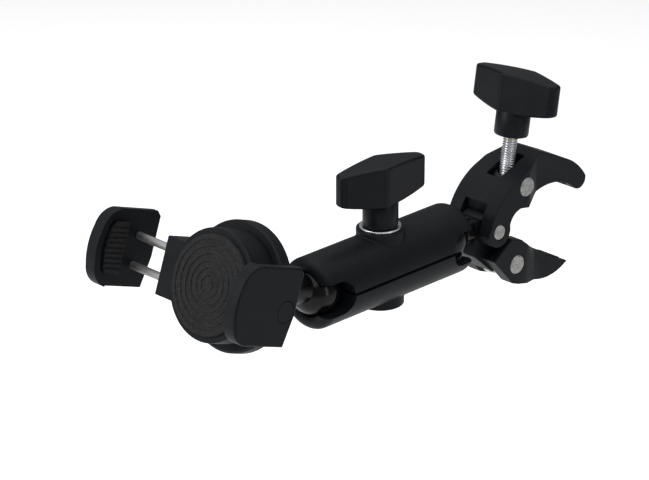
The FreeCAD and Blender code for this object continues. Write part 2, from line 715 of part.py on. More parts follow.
def make_arm_washer():
    body = new_body("arm_washer")
    ring = new_sketch(body, "washer_ring", "XY_Plane", BOSS_TOP)
    circle(ring, 0, 0, S.washer_dia / 2)
    circle(ring, 0, 0, S.bolt_dia / 2 + S.bolt_room)
    pad(ring, S.washer_thick)
    place(body, ARM)


def coil(body, name, section, axis, length, turns):
    """Winds a wire section into a spring along one of its sketch's axes."""
    winding = body.newObject("PartDesign::AdditiveHelix", name + "_coil")
    winding.Profile = section
    winding.ReferenceAxis = (section, [axis])
    winding.Mode = "height-turns-angle"
    winding.Angle = 0
    bind(winding, Height=length, Turns=turns)
    doc.recompute()


def make_arm_spring():
    """Coil spring round the bolt that lifts the shells off the balls."""
    body = new_body("arm_spring")
    section = new_sketch(body, "arm_spring_wire", "XZ_Plane")
    wire = S.arm_spring_wire / 2
    circle(section, S.arm_spring_dia / 2 - wire, wire, wire)
    length = 2 * S.arm_spring_deep + S.half_drop - 2 * wire
    coil(body, "arm_spring", section, "V_Axis", length, S.arm_spring_turns)
    place(body, ARM_SPRING)


def make_ball(name, reach, shank, frame):
    """A ball on a round neck, with a thinner shank that seats in its carrier."""
    body = new_body(name)
    half = new_sketch(body, name + "_half", "XZ_Plane")
    meet = root(BALL * BALL - NECK * NECK)
    thin = S.shank_dia / 2
    outline(half, [
        (-BALL, 0, -BALL), (0, BALL, -BALL), (meet, NECK), (reach, NECK), (reach, thin),
        (reach + shank, thin), (reach + shank, 0),
    ])
    revolve(half, "H_Axis")
    place(body, frame)


def make_ball_base():
    """Round plate behind the cradle, flared to a collar that holds the ball's neck."""
    body = new_body("ball_base")
    half = new_sketch(body, "base_half", "XZ_Plane")
    hole = S.shank_dia / 2 + S.run_fit
    rim = S.plate_dia / 2
    bevel = S.plate_bevel
    back = -S.plate_back
    tip = S.flare_long - S.plate_back
    outline(half, [
        (-PLATE_FRONT, hole), (-PLATE_FRONT, rim - bevel), (bevel - PLATE_FRONT, rim), (back - bevel, rim),
        (back, rim - bevel), (back, S.flare_dia / 2, -S.flare_long), (tip, S.collar_dia / 2), (tip, hole),
    ])
    revolve(half, "H_Axis")
    holes = new_sketch(body, "base_screw_holes", "YZ_Plane")
    screw_ring(holes, S.plate_screw_dia / 2 + S.run_fit)
    cut(holes)
    heads = new_sketch(body, "base_screw_heads", "YZ_Plane", back)
    screw_ring(heads, S.plate_screw_head / 2 + S.run_fit)
    cut(heads, S.head_sink, both=False)
    place(body, CRADLE)


def screw_ring(sketch, radius):
    ring = S.body_dia / 2 - S.screw_edge
    for step in range(4):
        angle = as_size(45 + 90 * step)
        circle(sketch, ring * cosine(angle), ring * sine(angle), radius)


def make_base_screws():
    body = new_body("base_screws")
    head = new_sketch(body, "base_heads", "YZ_Plane", -S.plate_back)
    screw_ring(head, S.plate_screw_head / 2)
    pad(head, S.head_sink, back=True)
    shaft = new_sketch(body, "base_shafts", "YZ_Plane", -S.plate_back)
    screw_ring(shaft, S.plate_screw_dia / 2)
    pad(shaft, S.plate_screw_long, back=True)
    place(body, CRADLE)


def make_cradle_body():
    """Drum housing with a cross box for the guide rods, open at the front."""
    body = new_body("cradle_body")
    deep = BODY_FRONT - PLATE_FRONT - S.cover_thick
    drum = new_sketch(body, "body_drum", "YZ_Plane", -PLATE_FRONT)
    circle(drum, 0, 0, S.body_dia / 2)
    pad(drum, deep, back=True)
    box = new_sketch(body, "body_box", "YZ_Plane", -PLATE_FRONT)
    rectangle(box, -NEAR_WALL, -S.box_high / 2, NEAR_WALL, S.box_high / 2)
    pad(box, deep, back=True)
    hollow = new_sketch(body, "body_hollow", "YZ_Plane", -PLATE_FRONT - S.box_wall)
    tall = S.box_high / 2 - S.box_wall
    rectangle(hollow, -BOX_INSIDE, -tall, BOX_INSIDE, tall)
    cut(hollow, deep, both=False)
    boss = new_sketch(body, "body_boss", "XZ_Plane", BOX_INSIDE)
    front = -S.cap_x - S.boss_half
    rectangle(boss, -PLATE_FRONT - S.box_wall / 2, S.cap_z - S.boss_half, front, S.cap_z + S.boss_half)
    pad(boss, S.boss_long, back=True)
    rods = new_sketch(body, "body_rod_holes", "XZ_Plane")
    for side in (1, -1):
        circle(rods, -S.rod_x, side * S.rod_rise, S.rod_dia / 2 + S.run_fit)
    cut(rods, NEAR_WALL * 2, both=False)
    bolt = new_sketch(body, "body_jaw_screw", "XZ_Plane")
    circle(bolt, -S.cap_x, S.cap_z, S.jaw_screw_dia / 2)
    cut(bolt, NEAR_WALL * 2, both=False, back=True)
    screws = new_sketch(body, "body_screw_holes", "YZ_Plane", -PLATE_FRONT)
    screw_ring(screws, S.plate_screw_dia / 2)
    cut(screws, S.plate_screw_long, both=False)
    place(body, CRADLE)


def make_cradle_cover():
    body = new_body("cradle_cover")
    back = S.cover_thick - BODY_FRONT
    disc = new_sketch(body, "cover_round", "YZ_Plane", back)
    circle(disc, 0, 0, S.body_dia / 2)
    pad(disc, S.cover_thick, back=True)
    box = new_sketch(body, "cover_box", "YZ_Plane", back)
    rectangle(box, -NEAR_WALL, -S.box_high / 2, NEAR_WALL, S.box_high / 2)
    pad(box, S.cover_thick, back=True)
    place(body, CRADLE)


def make_front_pad():
    body = new_body("front_pad")
    disc = new_sketch(body, "front_disc", "YZ_Plane", -BODY_FRONT)
    circle(disc, 0, 0, S.front_pad_dia / 2)
    pad(disc, S.front_pad_thick, back=True)
    place(body, CRADLE)


def jaw_front(inset):
    """The round front of a jaw from its top to its foot, drawn in by an inset."""
    corner = S.jaw_corner - inset
    shoulder = inset - S.jaw_shoulder_x
    rise = S.jaw_shoulder_z - inset / 3
    return [
        (-S.jaw_flat, S.jaw_mid + S.jaw_half - inset, corner),
        (shoulder, S.jaw_mid + rise, S.jaw_arc),
        (shoulder, S.jaw_mid - rise, corner),
        (-S.jaw_flat, S.jaw_mid - S.jaw_half + inset),
    ]


def make_jaw(name, inner, side):
    """A side jaw: an outer wall with a lip along its round front; side is its sign along Y."""
    body = new_body(name)
    wall = new_sketch(body, name + "_wall", "XZ_Plane", -side * inner)
    top = S.jaw_mid + S.jaw_half
    low = S.jaw_mid - S.jaw_half
    outline(wall, jaw_front(as_size(0)) + [
        (-S.jaw_slant_x, low),
        (-S.jaw_rear, S.jaw_slant_z),
        (-S.jaw_rear, top - S.jaw_bevel),
        (-S.jaw_rear - S.jaw_bevel, top),
    ])
    pad(wall, S.jaw_wall, back=side > 0)
    lip = new_sketch(body, name + "_lip", "XZ_Plane", -side * inner)
    a, b, c, d = jaw_front(S.lip_thick)
    outline(lip, jaw_front(as_size(0)) + [
        (d[0], d[1], -c[2]),
        (c[0], c[1], -b[2]),
        (b[0], b[1], -a[2]),
        (a[0], a[1]),
    ])
    pad(lip, S.lip_over, back=side < 0)
    outer = side * (inner + S.jaw_wall).value
    round_edges(body, S.jaw_round, lambda edge: is_across(edge, outer))
    seat = new_sketch(body, name + "_cap_seat", "XZ_Plane", -side * (inner + S.jaw_wall))
    circle(seat, -S.cap_x, S.cap_z, S.cap_dia / 2 + S.run_fit)
    cut(seat, S.cap_deep, both=False, back=side > 0)
    place(body, CRADLE)
    return body


def drill_fixed_jaw(body):
    """Hole and head seat for the screw that holds the fixed jaw on the box."""
    outer = NEAR_WALL + S.jaw_wall - S.cap_deep
    hole = new_sketch(body, "fixed_jaw_hole", "XZ_Plane", outer)
    circle(hole, -S.cap_x, S.cap_z, S.jaw_screw_dia / 2 + S.run_fit)
    cut(hole, S.jaw_wall, both=False)
    seat = new_sketch(body, "fixed_jaw_head_seat", "XZ_Plane", outer)
    circle(seat, -S.cap_x, S.cap_z, S.jaw_screw_head / 2 + S.run_fit)
    cut(seat, S.jaw_screw_head_high, both=False)


def drill_sliding_jaw(body):
    """Blind holes that hold the guide rods' ends."""
    holes = new_sketch(body, "sliding_jaw_holes", "XZ_Plane", -FAR_WALL)
    for side in (1, -1):
        circle(holes, -S.rod_x, side * S.rod_rise, S.rod_dia / 2)
    cut(holes, S.rod_seat, both=False)


def make_jaw_screw():
    body = new_body("jaw_screw")
    outer = NEAR_WALL + S.jaw_wall - S.cap_deep
    head = new_sketch(body, "jaw_screw_head", "XZ_Plane", outer)
    circle(head, -S.cap_x, S.cap_z, S.jaw_screw_head / 2)
    pad(head, S.jaw_screw_head_high, back=True)
    shaft = new_sketch(body, "jaw_screw_shaft", "XZ_Plane", outer)
    circle(shaft, -S.cap_x, S.cap_z, S.jaw_screw_dia / 2)
    pad(shaft, S.jaw_screw_long, back=True)
    place(body, CRADLE)


def make_jaw_pad(name, inner, side):
    """Rubber facing inside a jaw, its front edge following the lip."""
    body = new_body(name)
    face = new_sketch(body, name + "_face", "XZ_Plane", -side * inner)
    a, b, c, d = jaw_front(S.jaw_pad_inset)
    outline(face, [a, b, c, d, (-S.jaw_pad_back, d[1]), (-S.jaw_pad_back, a[1])])
    pad(face, S.jaw_pad_thick, back=side < 0)
    place(body, CRADLE)


def make_jaw_cap(name, inner, side):
    """Round cap let into a jaw's outer face."""
    body = new_body(name)
    cap = new_sketch(body, name + "_disc", "XZ_Plane", -side * (inner + S.jaw_wall))
    circle(cap, -S.cap_x, S.cap_z, S.cap_dia / 2)
    pad(cap, S.cap_deep, back=side < 0)
    place(body, CRADLE)


def make_guide_rod(name, rise):
    """Rod that carries the sliding jaw, with a collar for its spring at the inner end."""
    body = new_body(name)
    half = new_sketch(body, name + "_half", "YZ_Plane")
    radius = S.rod_dia / 2
    collar = S.rod_collar_dia / 2
    step = S.rod_end + S.collar_thick
    end = FAR_WALL + S.rod_seat
    outline(half, [
        (S.rod_end, 0), (end, 0), (end, radius), (step, radius), (step, collar), (S.rod_end, collar),
    ])
    revolve(half, "H_Axis")
    place(body, CRADLE + [(-S.rod_x, 0, rise, 0, 0)])


def make_return_spring(name, rise):
    """Spring between a rod's collar and the box's end, which draws the jaw in."""
    body = new_body(name)
    section = new_sketch(body, name + "_wire", "YZ_Plane")
    wire = S.spring_wire / 2
    start = S.rod_end + S.collar_thick + S.spring_room
    length = BOX_INSIDE - S.spring_room - start - 2 * wire
    circle(section, start + wire, S.spring_dia / 2 - wire, wire)
    coil(body, name, section, "H_Axis", length, S.spring_turns)
    place(body, CRADLE + [(-S.rod_x, 0, rise, 0, 0)])


def build_clamp():
    make_lower_jaw()
    make_upper_jaw()
    make_pad("lower_jaw_pad", lower_pad_line(S.pad_proud))
    make_pad("upper_jaw_pad", upper_pad_line(S.pad_proud))
    make_hinge_pin()
    make_barrel("upper_barrel", S.screw_dia / 2 + S.screw_room, UPPER_BARREL)
    make_barrel("lower_barrel", S.journal_dia / 2 + S.run_fit, SCREW)
    make_screw()
    make_screw_nut()
    make_knob("clamp_knob", CLAMP_KNOB)
    make_insert("clamp_knob_insert", S.screw_dia / 2, CLAMP_KNOB)
    make_ball("clamp_ball", S.post_x - S.clamp_ball_x - S.face_gap, S.clamp_shank, CLAMP_BALL)


def build_arm():
    make_shell("arm_upper_shell", 1)
    make_shell("arm_lower_shell", -1)
    make_arm_bolt()
    make_arm_washer()
    make_knob("arm_knob", ARM_KNOB)
    make_insert("arm_knob_insert", S.bolt_dia / 2 + S.run_fit, ARM_KNOB)
    make_arm_spring()


def build_cradle():
    make_ball("cradle_ball", S.plate_back - S.flare_long - S.face_gap, S.cradle_shank, CRADLE_BALL)
    make_ball_base()
    make_base_screws()
    make_cradle_body()
    make_cradle_cover()
    make_front_pad()
    drill_fixed_jaw(make_jaw("fixed_jaw", NEAR_WALL, -1))
    drill_sliding_jaw(make_jaw("sliding_jaw", FAR_WALL, 1))
    make_jaw_screw()
    for name, inner, side in (("fixed_jaw", NEAR_WALL, -1), ("sliding_jaw", FAR_WALL, 1)):
        make_jaw_pad(name + "_pad", inner, side)
        make_jaw_cap(name + "_cap", inner, side)
    for name, rise in (("upper", S.rod_rise), ("lower", -S.rod_rise)):
        make_guide_rod(name + "_guide_rod", rise)
        make_return_spring(name + "_return_spring", rise)


build_clamp()
build_arm()
build_cradle()
doc.recompute()
for item in doc.Objects:
    if "Invalid" in item.State or "Error" in item.State:
        raise RuntimeError(f"{item.Name} failed: {item.State}")
for piece in PIECES:
    if piece.Shape.isNull() or not piece.Shape.isValid():
        raise RuntimeError(f"{piece.Label} has no valid shape")
os.makedirs("parts", exist_ok=True)
for piece in PIECES:
    piece.Shape.exportStep(f"parts/{piece.Label}.step")
    print(piece.Label, len(piece.Shape.Solids), round(piece.Shape.Volume, 1))
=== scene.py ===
import json
import math

import bpy
from mathutils import Matrix, Vector

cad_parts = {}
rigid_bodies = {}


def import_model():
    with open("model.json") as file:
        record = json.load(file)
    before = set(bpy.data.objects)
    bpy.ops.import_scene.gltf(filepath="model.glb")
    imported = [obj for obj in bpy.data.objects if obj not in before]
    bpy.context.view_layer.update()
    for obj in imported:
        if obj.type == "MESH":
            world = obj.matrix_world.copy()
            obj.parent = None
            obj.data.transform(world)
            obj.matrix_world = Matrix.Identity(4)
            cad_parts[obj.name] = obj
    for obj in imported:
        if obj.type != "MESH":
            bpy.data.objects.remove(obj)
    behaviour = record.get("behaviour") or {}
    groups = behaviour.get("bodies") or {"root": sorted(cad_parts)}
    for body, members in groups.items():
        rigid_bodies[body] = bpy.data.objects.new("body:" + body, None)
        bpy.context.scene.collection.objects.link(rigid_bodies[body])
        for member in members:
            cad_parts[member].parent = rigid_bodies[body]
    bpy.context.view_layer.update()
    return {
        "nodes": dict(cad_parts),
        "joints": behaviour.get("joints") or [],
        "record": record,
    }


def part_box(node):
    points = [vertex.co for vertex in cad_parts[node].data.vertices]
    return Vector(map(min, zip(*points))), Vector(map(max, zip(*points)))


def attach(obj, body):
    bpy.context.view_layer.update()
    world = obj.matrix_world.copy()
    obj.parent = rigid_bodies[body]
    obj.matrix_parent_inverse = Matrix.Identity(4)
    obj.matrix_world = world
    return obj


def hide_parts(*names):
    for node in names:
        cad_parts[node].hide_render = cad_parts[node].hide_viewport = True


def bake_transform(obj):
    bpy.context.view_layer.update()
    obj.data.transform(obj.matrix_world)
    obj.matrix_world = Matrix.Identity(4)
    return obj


# Looks of the clamp-on phone holder, in metres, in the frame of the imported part.
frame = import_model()
NODES = frame["nodes"]
MM = 0.001

# Places and lines that the pieces share with the part's joints
JOINTS = {joint["name"]: joint for joint in frame["joints"]}
HINGE = Vector(JOINTS["jaw_hinge"]["pos_m"])
LOWER_BAR = Vector(JOINTS["lower_bar_pivot"]["pos_m"])
UPPER_BAR = Vector(JOINTS["upper_bar_pivot"]["pos_m"])
CRADLE_BALL = Vector(JOINTS["cradle_tilt"]["pos_m"])
ARM_MIDDLE = Vector(JOINTS["arm_knob_turn"]["pos_m"])
SCREW_LINE = UPPER_BAR - LOWER_BAR
CRADLE_LINE = Vector(JOINTS["cradle_roll"]["axis"])

# Height of each knob's stem on its bolt, in millimetres, and the way its wing points, in degrees
ARM_KNOB_SEAT, ARM_KNOB_TURN = 16.6, -8
CLAMP_KNOB_SEAT, CLAMP_KNOB_TURN = 50.972, -88


def shift(x, y, z):
    """A move, in millimetres."""
    return Matrix.Translation(Vector((x, y, z)) * MM)


def spin(degrees, axis):
    """A turn about an axis through the origin."""
    return Matrix.Rotation(math.radians(degrees), 4, axis)


# Frames of the clamp's screw, the cradle, the arm's middle and the two knobs
SCREW_LEAN = math.degrees(math.atan2(SCREW_LINE.x, SCREW_LINE.z))
CRADLE_LEAN = math.degrees(math.atan2(-CRADLE_LINE.z, CRADLE_LINE.x))
SCREW_FRAME = Matrix.Translation(LOWER_BAR) @ spin(SCREW_LEAN, "Y")
CRADLE_FRAME = Matrix.Translation(CRADLE_BALL) @ spin(CRADLE_LEAN, "Y")
ARM_FRAME = Matrix.Translation(ARM_MIDDLE)
ARM_KNOB = ARM_FRAME @ shift(0, 0, ARM_KNOB_SEAT) @ spin(ARM_KNOB_TURN, "Z")
CLAMP_KNOB = SCREW_FRAME @ shift(0, 0, CLAMP_KNOB_SEAT) @ spin(CLAMP_KNOB_TURN, "Z")

PHOTO_WIDTH = 649  # pixels
SENSOR_MM = 36.0
FLOOR_HEIGHT = -0.16  # metres
GROOVE_PITCH = 2.0  # millimetres
GROOVE_RADIUS = 0.45  # millimetres


class Wire:
    """A value in a material: a socket that takes arithmetic and feeds other nodes."""

    def __init__(self, tree, socket):
        self.tree = tree
        self.socket = socket

    def node(self, kind, settings=None, out=0, **inputs):
        """Adds any node: its settings first, then the values or links of its sockets by name."""
        made = self.tree.nodes.new(kind)
        for name, value in (settings or {}).items():
            if name == "stops":
                while len(made.color_ramp.elements) < len(value):
                    made.color_ramp.elements.new(0.5)
                for stop, (place, colour) in zip(made.color_ramp.elements, value):
                    stop.position = place
                    stop.color = colour
            else:
                setattr(made, name, value)
        for name, value in inputs.items():
            key = int(name[1:]) if name[0] == "i" and name[1:].isdigit() else name.replace("_", " ")
            target = made.inputs[key]
            if isinstance(value, Wire):
                self.tree.links.new(value.socket, target)
            else:
                target.default_value = value
        return Wire(self.tree, made.outputs[out])

    def maths(self, operation, first, second):
        """Arithmetic on two values."""
        return self.node("ShaderNodeMath", {"operation": operation}, i0=first, i1=second)

    def __add__(self, other):
        return self.maths("ADD", self, other)

    def __sub__(self, other):
        return self.maths("SUBTRACT", self, other)

    def __mul__(self, other):
        return self.maths("MULTIPLY", self, other)

    def __radd__(self, other):
        return self.maths("ADD", other, self)

    def __rsub__(self, other):
        return self.maths("SUBTRACT", other, self)

    def __rmul__(self, other):
        return self.maths("MULTIPLY", other, self)

    def noise(self, size, detail=2.0, rough=0.5):
        """Noise with features of about a size in metres."""
        settings = {"Scale": 1 / size, "Detail": detail, "Roughness": rough}
        return self.node("ShaderNodeTexNoise", Vector=self, **settings)

    def cells(self, size):
        """Distance to scattered points about a size in metres apart."""
        return self.node("ShaderNodeTexVoronoi", {"feature": "F1"}, Vector=self, Scale=1 / size)

    def part(self, axis):
        """One of a place's three coordinates."""
        return self.node("ShaderNodeSeparateXYZ", out="XYZ".index(axis), Vector=self)

    def ridges(self, pitch):
        """Rounded ridges at a pitch in metres, from 0 to 1."""
        return self.maths("SINE", self * (math.tau / pitch), 0) * 0.5 + 0.5

    def ramp(self, low, high, dark, light):
        """A colour from dark to light as the value goes from low to high."""
        stops = [(low, (*dark, 1)), (high, (*light, 1))]
        return self.node("ShaderNodeValToRGB", {"stops": stops}, Fac=self)


def new_finish(name):
    """An empty finish: its shader, and the surface's own coordinates."""
    finish = bpy.data.materials.new(name)
    finish.use_nodes = True
    shader = finish.node_tree.nodes["Principled BSDF"]
    place = finish.node_tree.nodes.new("ShaderNodeTexCoord").outputs["Object"]
    return finish, shader, Wire(finish.node_tree, place)


def feed(shader, **values):
    """Sets or links the shader's sockets."""
    for name, value in values.items():
        target = shader.inputs[name.replace("_", " ")]
        if isinstance(value, Wire):
            value.tree.links.new(value.socket, target)
        else:
            target.default_value = value


def moulded_plastic(name, dark, light, gloss, gleam, grain, depth):
    """Black moulding: fine spark-eroded grain, uneven sheen and faint dust."""
    finish, shader, place = new_finish(name)
    fine = place.noise(grain, 3.0, 0.6)
    broad = place.noise(0.009, 3.0, 0.55)
    pits = place.cells(grain * 1.7)
    relief = fine * 0.7 + pits * 0.5
    feed(
        shader,
        Base_Color=(fine * 0.55 + broad * 0.45).ramp(0.36, 0.66, dark, light),
        Roughness=gloss + (broad - 0.5) * 0.16 + (fine - 0.5) * 0.12,
        Normal=place.node("ShaderNodeBump", Strength=depth, Distance=0.00006, Height=relief),
        Specular_IOR_Level=gleam,
    )
    return finish


def polished_ball(name):
    """Black ball, smooth from its socket with fine rubbed rings."""
    finish, shader, place = new_finish(name)
    rub = place.noise(0.0035, 4.0, 0.6)
    feed(
        shader,
        Base_Color=rub.ramp(0.35, 0.7, (0.0015, 0.0015, 0.0017), (0.004, 0.004, 0.0044)),
        Roughness=0.13 + rub * 0.12,
        Specular_IOR_Level=0.14,
    )
    return finish


def soft_rubber(name):
    """Dull dark rubber with a fine dusty bloom."""
    finish, shader, place = new_finish(name)
    bloom = place.noise(0.0012, 4.0, 0.65)
    feed(
        shader,
        Base_Color=bloom.ramp(0.35, 0.72, (0.008, 0.008, 0.0084), (0.02, 0.02, 0.021)),
        Roughness=0.72 + bloom * 0.22,
        Normal=place.node("ShaderNodeBump", Strength=0.5, Distance=0.00012, Height=bloom),
        Specular_IOR_Level=0.1,
    )
    return finish


def steel_bar_painted_shade(name, centre, node):
    """Steel bar with painted shade, near black, along its length; its grey ends turned flat on a lathe
    with fine rings about its axis.
    """
    finish, shader, place = new_finish(name)
    bright_end = 0.6 * MM
    low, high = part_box(node)
    # Mask of the bar's ends: only they keep the steel's grey, the rest of the bar gets painted shade
    from_middle = place.maths("ABSOLUTE", place.part("Y") - (low.y + high.y) / 2, 0)
    steel_grey_end = place.maths("GREATER_THAN", from_middle, (high.y - low.y) / 2 - bright_end)
    across = place.part("X") - centre.x
    up = place.part("Z") - centre.z
    rings = place.maths("SQRT", across * across + up * up, 0).ridges(0.0004)
    stain = place.noise(0.0009, 4.0, 0.6)
    shade = (stain * 0.8 + rings * 0.2) * steel_grey_end
    feed(
        shader,
        # Dark colour: painted shade along the bar; light colour: grey steel of the ends
        Base_Color=shade.ramp(0.1, 0.64, (0.02, 0.02, 0.02), (0.34, 0.34, 0.334)),
        Metallic=1.0,
        Roughness=0.42 + stain * 0.16,
        Normal=place.node("ShaderNodeBump", Strength=0.2, Distance=0.00003, Height=rings + stain * 0.6),
    )
    return finish


def metal(name, dark, light, gloss, grain):
    """Bare metal with tool marks and slight tarnish."""
    finish, shader, place = new_finish(name)
    marks = place.noise(grain, 4.0, 0.6)
    tarnish = place.noise(0.004, 3.0, 0.5)
    feed(
        shader,
        Base_Color=(marks * 0.4 + tarnish * 0.6).ramp(0.35, 0.68, dark, light),
        Metallic=1.0,
        Roughness=gloss + (marks - 0.5) * 0.1,
        Normal=place.node("ShaderNodeBump", Strength=0.06, Distance=0.00002, Height=marks),
    )
    return finish


FINISHES = {
    "body_plastic": moulded_plastic(
        "black_grained_nylon", (0.0028, 0.0034, 0.0045), (0.0062, 0.0071, 0.0088),
        gloss=0.5, gleam=0.08, grain=0.00042, depth=0.3,
    ),
    "knob_plastic": moulded_plastic(
        "black_knob_nylon", (0.0028, 0.0033, 0.0042), (0.0058, 0.0066, 0.0081),
        gloss=0.42, gleam=0.085, grain=0.0005, depth=0.3,
    ),
    "ball_plastic": polished_ball("black_ball_acetal"),
    "rubber": soft_rubber("dark_pad_rubber"),
    "zinc_steel": metal("zinc_plated_steel", (0.36, 0.37, 0.39), (0.62, 0.63, 0.65), 0.28, 0.0006),
    "bright_steel": metal("bright_turned_steel", (0.21, 0.21, 0.21), (0.28, 0.28, 0.275), 0.5, 0.0004),
    "spring_steel": metal("spring_wire", (0.24, 0.24, 0.25), (0.44, 0.44, 0.45), 0.32, 0.0005),
    "brass": metal("turned_brass", (0.52, 0.36, 0.12), (0.80, 0.60, 0.26), 0.30, 0.0005),
}

# Steel pin and bars with painted shade along their length, grey at the ends
OWN_FINISH = {
    "hinge_pin": steel_bar_painted_shade("hinge_pin_painted_shade", HINGE, "hinge_pin"),
    "upper_barrel": steel_bar_painted_shade("upper_bar_painted_shade", UPPER_BAR, "upper_barrel"),
    "lower_barrel": steel_bar_painted_shade("lower_bar_painted_shade", LOWER_BAR, "lower_barrel"),
}

BODIES = frame["record"]["behaviour"]["bodies"]
BODY_OF = {node: body for body, nodes in BODIES.items() for node in nodes}
SLOT_OF = {entry["node"]: entry["material_slot"] for entry in frame["record"]["subparts"]}


def coat(item, slot, node=None):
    """Gives a piece its finish: the node's own, or the slot's."""
    item.data.materials.clear()
    item.data.materials.append(OWN_FINISH.get(node, FINISHES[slot]))


for node, slot in SLOT_OF.items():
    coat(NODES[node], slot, node)


def settle(item, slot, body, *nodes):
    """Finishes a modelled piece: its coat, the body it rides on and the solids it stands for."""
    coat(item, slot, *nodes)
    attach(item, body)
    if nodes:
        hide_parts(*nodes)


def pick(item):
    """Selects one piece alone."""
    bpy.ops.object.select_all(action="DESELECT")
    item.select_set(True)
    bpy.context.view_layer.objects.active = item


def fresh(name, add, **settings):
    """A new primitive, selected alone."""
    bpy.ops.object.select_all(action="DESELECT")
    add(**settings)
    item = bpy.context.object
    item.name = name
    return item


def change(item, kind, **settings):
    """Adds a modifier, sets it and applies it."""
    pick(item)
    modifier = item.modifiers.new(kind.lower(), kind)
    for name, value in settings.items():
        setattr(modifier, name, value)
    bpy.ops.object.modifier_apply(modifier=modifier.name)


def smooth(item, degrees=34):
    """Shades a piece smooth, but for edges sharper than an angle."""
    pick(item)
    bpy.ops.object.shade_smooth_by_angle(angle=math.radians(degrees))


def even_shading(item):
    """Shades a piece with broken edges so that its large faces stay flat."""
    smooth(item)
    change(item, "WEIGHTED_NORMAL", mode="FACE_AREA", weight=80, keep_sharp=True)


def merged_copy(node, ending):
    """A copy of a solid, its triangles joined."""
    pick(NODES[node])
    bpy.ops.object.duplicate()
    item = bpy.context.object
    item.name = node + ending
    bpy.ops.object.mode_set(mode="EDIT")
    bpy.ops.mesh.select_all(action="SELECT")
    bpy.ops.mesh.remove_doubles(threshold=0.000001)
    bpy.ops.object.mode_set(mode="OBJECT")
    return item


def soften(node, width_mm, steps=2, held_back=False, grooves=None):
    """A copy of a solid with broken edges, held back where they are short, then cut by grooves."""
    item = merged_copy(node, "_softened")
    bpy.ops.object.mode_set(mode="EDIT")
    bpy.ops.mesh.dissolve_limited(angle_limit=math.radians(1))
    bpy.ops.object.mode_set(mode="OBJECT")
    change(
        item, "BEVEL", width=width_mm * MM, segments=steps, limit_method="ANGLE",
        angle_limit=math.radians(38), use_clamp_overlap=held_back, harden_normals=False,
    )
    if grooves:
        change(item, "BOOLEAN", operation="DIFFERENCE", object=grooves, solver="EXACT")
        bpy.data.objects.remove(grooves)
    even_shading(item)
    settle(item, SLOT_OF[node], BODY_OF[node], node)


def stretch(node, axis):
    """A smooth copy of a spring, freed from its body and baked in place, standing for the solid."""
    item = merged_copy(node, "_stretching")
    bpy.ops.object.parent_clear(type="CLEAR_KEEP_TRANSFORM")
    smooth(item)
    coat(item, SLOT_OF[node], node)
    low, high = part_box(node)
    start = (low + high) / 2
    end = start.copy()
    start[axis], end[axis] = high[axis], low[axis]
    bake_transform(item)
    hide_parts(node)


def chain(name, points):
    """A line of joined points, drawn as an open ring and then put in place."""
    item = fresh(name, bpy.ops.mesh.primitive_circle_add, vertices=len(points), radius=MM)
    bpy.ops.object.mode_set(mode="EDIT")
    bpy.ops.mesh.select_all(action="DESELECT")
    bpy.ops.object.mode_set(mode="OBJECT")
    last = len(points) - 1
    for edge in item.data.edges:
        edge.select = set(edge.vertices) == {0, last}
    bpy.ops.object.mode_set(mode="EDIT")
    bpy.ops.mesh.select_mode(type="EDGE")
    bpy.ops.mesh.delete(type="EDGE")
    bpy.ops.object.mode_set(mode="OBJECT")
    for corner, (radius, height) in zip(item.data.vertices, points):
        corner.co = (radius * MM, 0, height * MM)
    return item


def face_out(item):
    """Merges doubled corners and turns the normals outward."""
    pick(item)
    bpy.ops.object.mode_set(mode="EDIT")
    bpy.ops.mesh.select_all(action="SELECT")
    bpy.ops.mesh.remove_doubles(threshold=0.000002)
    bpy.ops.mesh.normals_make_consistent(inside=False)
    bpy.ops.object.mode_set(mode="OBJECT")


def turned(name, points, steps=64):
    """A round piece turned about Z from its half outline."""
    item = chain(name, points)
    change(item, "SCREW", angle=math.tau, steps=steps, render_steps=steps)
    face_out(item)
    smooth(item)
    return item


def slab(name, points, low, high):
    """A flat outline in X and Z, drawn out from one Y to another."""
    item = fresh(
        name, bpy.ops.mesh.primitive_circle_add, vertices=len(points), radius=MM, fill_type="NGON",
    )
    for corner, (across, up) in zip(item.data.vertices, points):
        corner.co = (across * MM, low * MM, up * MM)
    bpy.ops.object.mode_set(mode="EDIT")
    bpy.ops.mesh.select_all(action="SELECT")
    bpy.ops.mesh.extrude_region_move(TRANSFORM_OT_translate={"value": (0, (high - low) * MM, 0)})
    bpy.ops.object.mode_set(mode="OBJECT")
    face_out(item)
    return item


def put(item, spot):
    """Moves a piece's mesh into place, with the object left at the origin."""
    item.matrix_world = spot
    pick(item)
    bpy.ops.object.transform_apply(location=True, rotation=True, scale=True)


def join(name, items):
    """Makes one piece of several."""
    pick(items[0])
    for item in items[1:]:
        item.select_set(True)
    bpy.ops.object.join()
    whole = bpy.context.object
    whole.name = name
    return whole


def repeat(first, spots):
    """Copies of a piece, one in each place, joined under its name."""
    items = [first]
    for _ in spots[1:]:
        pick(first)
        bpy.ops.object.duplicate()
        items.append(bpy.context.object)
    for item, spot in zip(items, spots):
        put(item, spot)
    return join(first.name, items)


